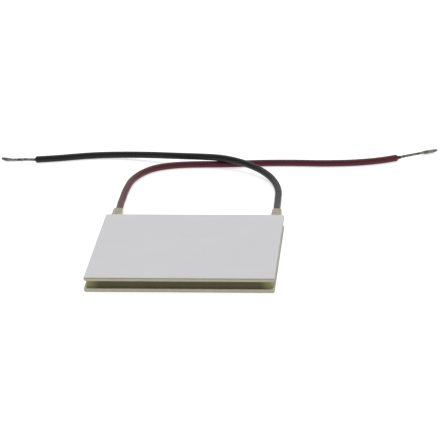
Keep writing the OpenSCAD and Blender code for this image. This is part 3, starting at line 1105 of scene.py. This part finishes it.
# ---------------------------------------------------------------- leads


class Strip(Enum):
    """How the jacket ends where the lead is stripped."""

    CUT = "cut square, with a rounded rim"
    DRAWN = "pulled out into a short nub"


@dataclass
class Lead:
    """One lead, from the plates' edge to its bare end, with its sleeve and its sealant."""

    colour: str
    route: Sequence[tuple[float, float, float]]
    tip: tuple[float, float]
    finish: ExtrudedPvc
    strip: Strip
    seed: float
    course: Sequence[tuple[float, float, float]]
    dipped_length: float
    dipped_radius: float
    end_radius: float
    splay: float
    jacket_diameter: float = 1.6 * MM
    jacket_sides: int = 32
    strand_diameter: float = 0.21 * MM
    strands: int = 7
    lay: float = 5 * MM
    dipped_sides: int = 36
    ring_step: float = 0.35 * MM
    wall_uneven: float = 0.012
    sleeve_wall: float = 0.33 * MM
    sleeve_sides: int = 48
    sleeve_squareness: float = 4.5

    def build(self) -> bpy.types.Object:
        """Returns:
            The jacket.
        """
        jacket = self._jacket()
        pieces = [self._sleeve(), ExitBead(self.colour, self.seed).build()]
        pieces += [self._strands(), self._dipped_end(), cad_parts[f"{self.colour}_wire_root"]]
        return jacket

    def __post_init__(self) -> None:
        """Works out the lead's line from its route."""
        low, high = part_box(f"{self.colour}_lead_sleeve")
        self.sleeve_radius = (high.x - low.x) / 2
        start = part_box(f"{self.colour}_wire_root")[1].y
        axis = self._axis()
        radius = self.jacket_diameter / 2
        knots = [(axis.x, start, axis.z), (axis.x, high.y + 0.5 * MM, axis.z)]
        knots += [(x, self._edge() + y, radius + lift * self.jacket_diameter) for x, y, lift in self.route]
        self.line = Centreline(knots, lowest=radius)

    def _axis(self) -> Vector:
        """Centre of the lead where it leaves the module."""
        low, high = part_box(f"{self.colour}_wire_root")
        return (low + high) / 2

    @staticmethod
    def _edge() -> float:
        """Place of the plates' +Y edge."""
        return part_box("cold_plate")[1].y

    def _jacket(self) -> bpy.types.Object:
        """The extruded jacket: a long tube with a closed end in the sleeve and a hollow stripped end."""
        radius, length = self.jacket_diameter / 2, self.line.length
        bore = self.strand_diameter * 1.5
        outline = [(0.0, 0.0), (0.0, radius * 0.8), (0.06 * MM, radius * 0.97)]
        count = round(length / self.ring_step)
        outline += [(0.2 * MM + (length - 0.7 * MM) * i / count, radius) for i in range(count + 1)]
        if self.strip is Strip.CUT:
            outline = [row for row in outline if row[0] < length - 0.62 * MM]
            outline += [
                (length - 0.55 * MM * (1 - math.sin(turn)), radius * (0.35 + 0.65 * math.cos(turn)))
                for turn in np.linspace(0, math.pi / 2, 9)
            ]
            outline += [(length - 0.2 * MM, bore * 1.05)]
        else:
            outline += [(length - 0.3 * MM, radius), (length - 0.12 * MM, radius * 0.96),
                        (length - 0.02 * MM, radius * 0.84), (length + 0.1 * MM, radius * 0.66),
                        (length + 0.4 * MM, radius * 0.56), (length + 0.8 * MM, radius * 0.5),
                        (length + 1.0 * MM, radius * 0.44), (length + 0.9 * MM, bore * 1.05)]
        outline += [(length - 0.6 * MM, bore), (length - 0.6 * MM, 0.0)]
        jacket = loft(f"{self.colour}_lead_jacket", self.line, outline, self.jacket_sides,
                      ripple(self.wall_uneven, 2.6 * MM, 2, self.seed))
        jacket.data.materials.append(self.finish.material())
        return settle(jacket, f"{self.colour}_jacket", f"{self.colour}_lead")

    def _sleeve(self) -> bpy.types.Object:
        """The tubing over the lead's root, cut by hand at its outer end."""
        low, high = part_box(f"{self.colour}_lead_sleeve")
        axis = self._axis()
        line = Centreline([(axis.x, low.y, axis.z), (axis.x, high.y, axis.z)])
        outer, inner, length = self.sleeve_radius, self.sleeve_radius - self.sleeve_wall, line.length
        outline = [(0.05 * MM, inner), (0.0, (inner + outer) / 2), (0.05 * MM, outer)]
        steps = 24
        outline += [(0.2 * MM + (length - 0.4 * MM) * i / steps, outer) for i in range(steps + 1)]
        outline += [(length - 0.08 * MM, outer * 0.985), (length, outer * 0.94),
                    (length - 0.01 * MM, inner * 1.06), (length - 0.08 * MM, inner)]
        outline += [(length - 0.2 * MM - (length - 0.4 * MM) * i / steps, inner) for i in range(steps + 1)]
        wave = ripple(0.012, 1.8 * MM, 2, self.seed + 1)

        def pressed(angle: np.ndarray, along: np.ndarray) -> np.ndarray:
            """Presses the tubing towards a square with round corners."""
            power = self.sleeve_squareness
            square = (np.abs(np.cos(angle)) ** power + np.abs(np.sin(angle)) ** power) ** (1 / power)
            return wave(angle, along) / square

        sleeve = loft(f"{self.colour}_sleeve_tubing", line, outline, self.sleeve_sides, pressed, closed=True)
        sleeve.data.materials.append(TUBING.material())
        return settle(sleeve, "clear_sleeve", f"{self.colour}_lead_sleeve")

    def _tip_line(self) -> Centreline:
        """Line of the bare conductor, from inside the jacket to its end, with a slight bend in it."""
        out = self.line.points[-1]
        run = np.array([self.tip[0], self._edge() + self.tip[1], out[2]]) - out
        side = np.cross(run, (0, 0, 1)) / np.linalg.norm(run)
        knots = [out - self.line.ahead[-1] * 0.5 * MM]
        for share, sideways, height in self.course:
            place = out + run * share + side * sideways
            knots.append((place[0], place[1], height))
        return Centreline(knots, step=0.1 * MM)

    def _strands(self) -> bpy.types.Object:
        """The bare strands, six laid round a seventh."""
        axis = curve_object(f"{self.colour}_bare_strands", self._tip_line().points[:-4])
        strands = grow(
            axis, self._strand_tree(), count=self.strands, diameter=self.strand_diameter, lay=self.lay,
            splay=self.splay, seed=round(self.seed * 10), finish=STRAND.material(),
        )
        return settle(strands, "tinned_copper", f"{self.colour}_wire_tip")

    def _dipped_end(self) -> bpy.types.Object:
        """The solder that was dipped over the strands' end, with the strands still showing through."""
        line = self._tip_line()
        start, length = line.length - self.dipped_length, self.dipped_length
        thin = self.strand_diameter * 1.4
        swell = [(0.0, 0.0), (0.0, 0.85), (0.04, 1.0)]
        outline = [(start + share * length, thin * factor) for share, factor in swell]
        steps = 25
        for i in range(1, steps):
            share = i / steps
            grown = thin + (self.dipped_radius - thin) * math.sin(math.pi / 2 * min(1.0, share / 0.3))
            taper = max(0.0, (share - 0.55) / 0.45)
            radius = grown + (self.end_radius - grown) * taper ** 1.5
            closing = math.sqrt(1 - max(0.0, (share - 0.88) / 0.12) ** 2)
            outline.append((start + length * (0.04 + 0.96 * share), radius * closing))
        outline.append((line.length, 0.0))
        lobes = self.strands - 1

        def uneven(angle: np.ndarray, along: np.ndarray) -> np.ndarray:
            """A soft lobe for each outer strand, along its lay, and slow lumps."""
            share = np.clip((along - start) / length, 0, 1)
            twist = lobes * (angle - math.tau * along / self.lay)
            lumps = np.sin(along / (0.5 * MM) + self.seed) * np.sin(angle + self.seed * 3)
            return 1 + 0.07 * (1 - share) * np.cos(twist) + 0.06 * lumps

        dipped = loft(f"{self.colour}_dipped_end", line, outline, self.dipped_sides, uneven)
        dipped.data.materials.append(DIPPED.material())
        return settle(dipped, "tinned_copper")

    @staticmethod
    def _strand_tree() -> bpy.types.NodeTree:
        """The tree that lays strands round a line: one along it, and the others in a helix."""
        known = bpy.data.node_groups.get("laid_strands")
        if known:
            return known
        tree, given = new_tree(
            "laid_strands", count="Int", diameter="Float", lay="Float", splay="Float", seed="Int",
            finish="Material")
        copies = add(tree, "GeometryNodeDuplicateElements", {
            "Geometry": given["shape"], "Amount": given["count"]}, domain="SPLINE")
        index = copies.node.outputs["Duplicate Index"]
        along = add(tree, "GeometryNodeSplineParameter", pick="Length")
        around = add(tree, "ShaderNodeMath", {0: given["count"], 1: 1.0}, operation="SUBTRACT")
        share = add(tree, "ShaderNodeMath", {0: index, 1: around}, operation="DIVIDE")
        turns = add(tree, "ShaderNodeMath", {0: along, 1: given["lay"]}, operation="DIVIDE")
        both = add(tree, "ShaderNodeMath", {0: share, 1: turns}, operation="ADD")
        angle = add(tree, "ShaderNodeMath", {0: both, 1: math.tau}, operation="MULTIPLY")
        outer = add(tree, "ShaderNodeMath", {0: index, 1: 0.5}, operation="GREATER_THAN")
        spread = add(tree, "ShaderNodeCombineXYZ", {0: along, 1: index, 2: given["seed"]})
        wander = (1 / (1.2 * MM), 3.7, 1.0)  # waves along a strand, and a shift between the strands
        stretched = add(tree, "ShaderNodeVectorMath", {0: spread, 1: wander}, operation="MULTIPLY")
        noise = add(tree, "ShaderNodeTexNoise", {"Vector": stretched, "Scale": 1.0, "Detail": 1.0})
        loose = add(tree, "ShaderNodeMath", {0: noise, 1: given["splay"], 2: 1.0}, operation="MULTIPLY_ADD")
        pitch = add(tree, "ShaderNodeMath", {0: given["diameter"], 1: loose}, operation="MULTIPLY")
        radius = add(tree, "ShaderNodeMath", {0: pitch, 1: outer}, operation="MULTIPLY")
        cosine = add(tree, "ShaderNodeMath", {0: angle}, operation="COSINE")
        sine = add(tree, "ShaderNodeMath", {0: angle}, operation="SINE")
        normal = add(tree, "GeometryNodeInputNormal")
        tangent = add(tree, "GeometryNodeInputTangent")
        other = add(tree, "ShaderNodeVectorMath", {0: tangent, 1: normal}, operation="CROSS_PRODUCT")
        first = add(tree, "ShaderNodeVectorMath", {0: normal, "Scale": cosine}, operation="SCALE")
        second = add(tree, "ShaderNodeVectorMath", {0: other, "Scale": sine}, operation="SCALE")
        way = add(tree, "ShaderNodeVectorMath", {0: first, 1: second}, operation="ADD")
        shift = add(tree, "ShaderNodeVectorMath", {0: way, "Scale": radius}, operation="SCALE")
        laid = add(tree, "GeometryNodeSetPosition", {"Geometry": copies, "Offset": shift})
        half = add(tree, "ShaderNodeMath", {0: given["diameter"], 1: 0.5}, operation="MULTIPLY")
        circle = add(tree, "GeometryNodeCurvePrimitiveCircle", {"Resolution": 12, "Radius": half})
        drawn = add(tree, "GeometryNodeCurveToMesh", {
            "Curve": laid, "Profile Curve": circle, "Fill Caps": True})
        smooth = add(tree, "GeometryNodeSetShadeSmooth", {"Geometry": drawn})
        real = add(tree, "GeometryNodeRealizeInstances", {"Geometry": smooth})
        done = add(tree, "GeometryNodeSetMaterial", {"Geometry": real, "Material": given["finish"]})
        add(tree, "NodeGroupOutput", {"result": done})
        return tree


@dataclass
class ExitBead:
    """The sealant pressed round a sleeve by hand, in the gap and over the plates' edges."""

    colour: str
    seed: float
    lip: float = 0.32 * MM
    run: float = 2.2 * MM
    voxel: float = 0.07 * MM
    smoothing: int = 6
    lump_share: float = 0.05
    lump_size: float = 1.1 * MM
    core_inset: float = 0.35 * MM
    end_gap: float = 0.02 * MM

    def build(self) -> bpy.types.Object:
        """Joins the collar, the fillet in the gap and the core in the sleeve into one soft shape.

        Returns:
            The finished piece, in place of its CAD node.
        """
        low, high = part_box(f"{self.colour}_exit_bead")
        sleeve_low, sleeve_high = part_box(f"{self.colour}_lead_sleeve")
        root_low, root_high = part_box(f"{self.colour}_wire_root")
        axis = (root_low + root_high) / 2
        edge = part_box("cold_plate")[1].y
        sleeve = (sleeve_high.x - sleeve_low.x) / 2
        line = Centreline([(axis.x, low.y, axis.z), (axis.x, high.y, axis.z)])
        start = edge - low.y
        tall = high.z - low.z
        collar = [(self.end_gap, 0.0), (self.end_gap, tall * 0.36), (start * 0.9, tall * 0.42)]
        steps = 10
        for i in range(steps + 1):
            turn = math.pi / 2 * i / steps
            collar.append((start + self.run * (1 - math.cos(turn)),
                           sleeve + 0.03 * MM + self.lip * (1 - math.sin(turn))))
        collar.append((start + self.run + 0.05 * MM, 0.0))
        end, radius = line.length - self.end_gap, sleeve - self.core_inset
        lumps = ripple(self.lump_share, self.lump_size, 3, self.seed)
        parts = [
            loft("collar", line, collar, 40, lumps),
            loft("core", line, [(start, 0.0), (start, radius), (end, radius), (end, 0.0)], 32),
        ]
        points, faces = [], []
        for part in parts:
            faces += [[v + len(points) for v in face.vertices] for face in part.data.polygons]
            points += [vertex.co[:] for vertex in part.data.vertices]
            bpy.data.objects.remove(part)
        bead = mesh_object(f"{self.colour}_exit_sealant", np.array(points), faces)
        fused = bead.modifiers.new("fuse", "REMESH")
        fused.mode, fused.voxel_size, fused.use_smooth_shade = "VOXEL", self.voxel, True
        soft = bead.modifiers.new("soften", "SMOOTH")
        soft.iterations, soft.factor = self.smoothing, 0.5
        graph = bpy.context.evaluated_depsgraph_get()
        mesh = bpy.data.meshes.new_from_object(bead.evaluated_get(graph))
        bead.modifiers.clear()
        bead.data = mesh
        bead.data.shade_smooth()
        self._trim(bead, low, high, edge)
        bead.data.materials.append(EXIT_SEAL.material())
        return settle(bead, "exit_sealant", f"{self.colour}_exit_bead")

    @staticmethod
    def _trim(bead: bpy.types.Object, low: Vector, high: Vector, edge: float) -> None:
        """Keeps the sealant within the heights of the gap and the plates.

        Args:
            bead: The bead's mesh object.
            low: Lowest corner of the CAD bead.
            high: Highest corner of the CAD bead.
            edge: Place of the plates' edge.
        """
        points = np.zeros(len(bead.data.vertices) * 3, np.float32)
        bead.data.vertices.foreach_get("co", points)
        points = points.reshape(-1, 3)
        points[:, 2] = np.clip(points[:, 2], low.z, high.z)
        plate_low, plate_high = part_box("hot_plate")[1].z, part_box("cold_plate")[0].z
        inside = points[:, 1] < edge
        points[inside, 2] = np.clip(points[inside, 2], plate_low, plate_high)
        bead.data.vertices.foreach_set("co", points.ravel())
        bead.data.update()


RED_ROUTE = [
    (-0.0181, 0.0105, 0.3), (-0.0183, 0.0145, 0.1), (-0.0183, 0.0185, 0), (-0.0183, 0.0225, 0),
    (-0.0181, 0.0265, 0), (-0.0178, 0.03, 0), (-0.017, 0.0335, 0), (-0.0156, 0.037, 0), (-0.0133, 0.0402, 0),
    (-0.01, 0.0422, 0), (-0.006, 0.0432, 0), (-0.002, 0.0435, 0), (0.002, 0.0436, 0), (0.006, 0.0439, 0),
    (0.01, 0.0444, 0), (0.014, 0.0447, 0), (0.018, 0.0448, 0), (0.022, 0.0447, 0), (0.026, 0.0445, 0),
    (0.03, 0.0446, 0), (0.034, 0.045, 0), (0.038, 0.0459, 0), (0.0415, 0.0472, 0), (0.0447, 0.0489, 0),
]
BLACK_ROUTE = [
    (0.0178, 0.0105, 0.3), (0.0177, 0.0145, 0.1), (0.0176, 0.0185, 0), (0.0175, 0.0225, 0),
    (0.017, 0.0265, 0.04), (0.016, 0.0304, 0.14), (0.0144, 0.034, 0.32), (0.012, 0.0373, 0.54),
    (0.009, 0.04, 0.78), (0.0056, 0.0421, 0.96), (0.002, 0.0435, 1.05), (-0.002, 0.0445, 1),
    (-0.006, 0.0455, 0.88), (-0.01, 0.0468, 0.7), (-0.014, 0.0482, 0.5), (-0.018, 0.0494, 0.3),
    (-0.022, 0.0502, 0.14), (-0.026, 0.0505, 0.04), (-0.03, 0.0501, 0), (-0.034, 0.0491, 0),
    (-0.038, 0.048, 0), (-0.043, 0.047, 0),
]
# The stripped ends: share of the way to the tip, distance sideways and height of the centre, in metres
RED_COURSE = [
    (0.04, 0, 0.00078), (0.35, -0.00006, 0.00072), (0.6, 0.00004, 0.00066), (0.82, 0.00008, 0.00058),
    (1, 0, 0.0005),
]
BLACK_COURSE = [
    (0.04, 0, 0.00075), (0.33, 0.0001, 0.00062), (0.58, -0.0001, 0.00048), (0.72, -0.0001, 0.00045),
    (0.84, 0, 0.00046), (0.93, 0.0001, 0.00053), (1, 0.0001, 0.00062),
]


def make_leads() -> list[Lead]:
    """Sets out the two leads.

    Returns:
        The red lead and the black one, which crosses over it.
    """
    return [
        Lead("red", RED_ROUTE, (0.0546, 0.056), RED_PVC, Strip.DRAWN, seed=0.7, course=RED_COURSE,
             dipped_length=5.3 * MM, dipped_radius=0.45 * MM, end_radius=0.24 * MM, splay=0.12),
        Lead("black", BLACK_ROUTE, (-0.0516, 0.0484), BLACK_PVC, Strip.CUT, seed=2.3, course=BLACK_COURSE,
             dipped_length=2.6 * MM, dipped_radius=0.41 * MM, end_radius=0.28 * MM, splay=0.3),
    ]


# ---------------------------------------------------------------- pieces in the gap


@dataclass
class Couples:
    """The couples, tabs, solder and lead roots that are sealed in the gap: CAD shapes, real finishes."""

    finishes: dict[str, Finish]

    def dress(self) -> None:
        """Gives each CAD node in the gap its finish."""
        for node, finish in self.finishes.items():
            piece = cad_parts[node]
            for slot in piece.material_slots:
                slot.material = finish.material()
            LOG.info("%s: %s", node, finish.name)


COUPLES = Couples({
    "n_pellets": N_TELLURIDE, "p_pellets": P_TELLURIDE,
    **dict.fromkeys(("hot_tabs", "cold_tabs", "red_lead_pad", "black_lead_pad"), COPPER),
    **dict.fromkeys(("hot_solder", "cold_solder", "red_lead_joint", "black_lead_joint"), REFLOWED),
    **dict.fromkeys(("red_wire_root", "black_wire_root"), STRAND),
})


# ---------------------------------------------------------------- studio


@dataclass(frozen=True)
class PaintedSweep(Finish):
    """A white painted studio sweep that glows a little, as a lit table does."""

    body: str = "E6E6E6"
    shade: str = "E3E3E3"
    glow: float = 0.6
    grain_size: float = 20 * MM

    def dress(self, tree: bpy.types.NodeTree, shader: bpy.types.Node) -> None:
        """Nearly even white."""
        place = add(tree, "ShaderNodeTexCoord", pick="Object")
        _, colour = self.patches(tree, place, self.grain_size, (self.body, self.shade), detail=2.0)
        self.join(tree, shader, colour)
        shader.inputs["Specular IOR Level"].default_value = 0.0
        shader.inputs["Emission Color"].default_value = (1.0, 1.0, 1.0, 1.0)
        shader.inputs["Emission Strength"].default_value = self.glow


@dataclass
class Studio:
    """A pale floor, a bright back and top, a dim front, and the camera."""

    aim: tuple[float, float] = (0.0057, 0.02427)
    distance: float = 0.5466
    azimuth: float = 4.70
    elevation: float = 19.45
    roll: float = -1.34
    view_angle: float = 10.456
    floor_size: float = 8.0
    floor_drop: float = 0.02 * MM
    top_power: float = 2.25
    sky_front: float = 0.37
    sky_back: float = 0.84
    sky_reach: float = 0.8

    def place_camera(self) -> None:
        """Puts the camera where it sees the module from the front, a little from the right."""
        turn, rise = math.radians(self.azimuth), math.radians(self.elevation)
        back = Vector((math.sin(turn) * math.cos(rise), -math.cos(turn) * math.cos(rise), math.sin(rise)))
        data = bpy.data.cameras.new("camera")
        data.sensor_width = data.sensor_height = 36
        data.angle = math.radians(self.view_angle)
        data.clip_start, data.clip_end = 0.01, 50
        camera = link("camera", data)
        camera.location = Vector((*self.aim, 0.0)) + back * self.distance
        level = (-back).to_track_quat("-Z", "Y")
        camera.rotation_mode = "QUATERNION"
        camera.rotation_quaternion = level @ Quaternion((0, 0, 1), math.radians(self.roll))
        bpy.context.scene.camera = camera

    def build(self) -> None:
        """Lays the floor, hangs the lights and sets how the picture is toned."""
        half = self.floor_size / 2
        corners = np.array([(-half, -half, 0), (half, -half, 0), (half, half, 0), (-half, half, 0)])
        corners[:, 2] = -self.floor_drop
        floor = mesh_object("studio_floor", corners, [(0, 1, 2, 3)])
        floor.data.materials.append(PaintedSweep("painted_studio_sweep", roughness=0.9).material())
        self._softbox("top_box", (0.1, 0.25, 0.9), (0.9, 0.9), self.top_power)
        self._sky()
        view = bpy.context.scene.view_settings
        view.view_transform, view.look, view.exposure, view.gamma = "Standard", "None", 0.0, 1.0
        LOG.info("studio ready")

    @staticmethod
    def _softbox(name: str, place: Sequence[float], size: Sequence[float], power: float) -> None:
        """Hangs one soft light that faces the module.

        Args:
            name: Name of the light.
            place: Where it hangs, in metres.
            size: Its width and height, in metres.
            power: Its power in watts.
        """
        data = bpy.data.lights.new(name, "AREA")
        data.shape, data.size, data.size_y, data.energy = "RECTANGLE", size[0], size[1], power
        light = link(name, data)
        light.location = place
        light.rotation_mode = "QUATERNION"
        light.rotation_quaternion = (-Vector(place)).to_track_quat("-Z", "Y")

    def _sky(self) -> None:
        """Surrounds the scene with white that is dimmer in front of the module than behind it."""
        world = bpy.data.worlds.new("studio_walls")
        world.use_nodes = True
        bpy.context.scene.world = world
        tree = world.node_tree
        way = add(tree, "ShaderNodeTexCoord", pick="Generated")
        depth = add(tree, "ShaderNodeSeparateXYZ", {0: way}, pick="Y")
        bright = add(tree, "ShaderNodeMapRange", {
            "Value": depth, "From Min": -self.sky_reach, "From Max": self.sky_reach,
            "To Min": self.sky_front, "To Max": self.sky_back}, interpolation_type="SMOOTHSTEP")
        tree.links.new(bright, tree.nodes["Background"].inputs["Strength"])
        tree.nodes["Background"].inputs["Color"].default_value = (1.0, 1.0, 1.0, 1.0)


def main() -> None:
    """Builds the camera, the leads, the plates, the seal and the studio, in that order."""
    logging.basicConfig(level=logging.INFO, format="%(message)s")
    studio = Studio()
    studio.place_camera()
    for lead in make_leads():
        lead.build()
    CeramicPlate("cold_ceramic", "cold_plate", Outside.UP, seed=5).build()
    CeramicPlate("hot_ceramic", "hot_plate", Outside.DOWN, seed=11).build()
    EdgeSeal().build()
    COUPLES.dress()
    studio.build()


if __name__ == "__main__":
    main()
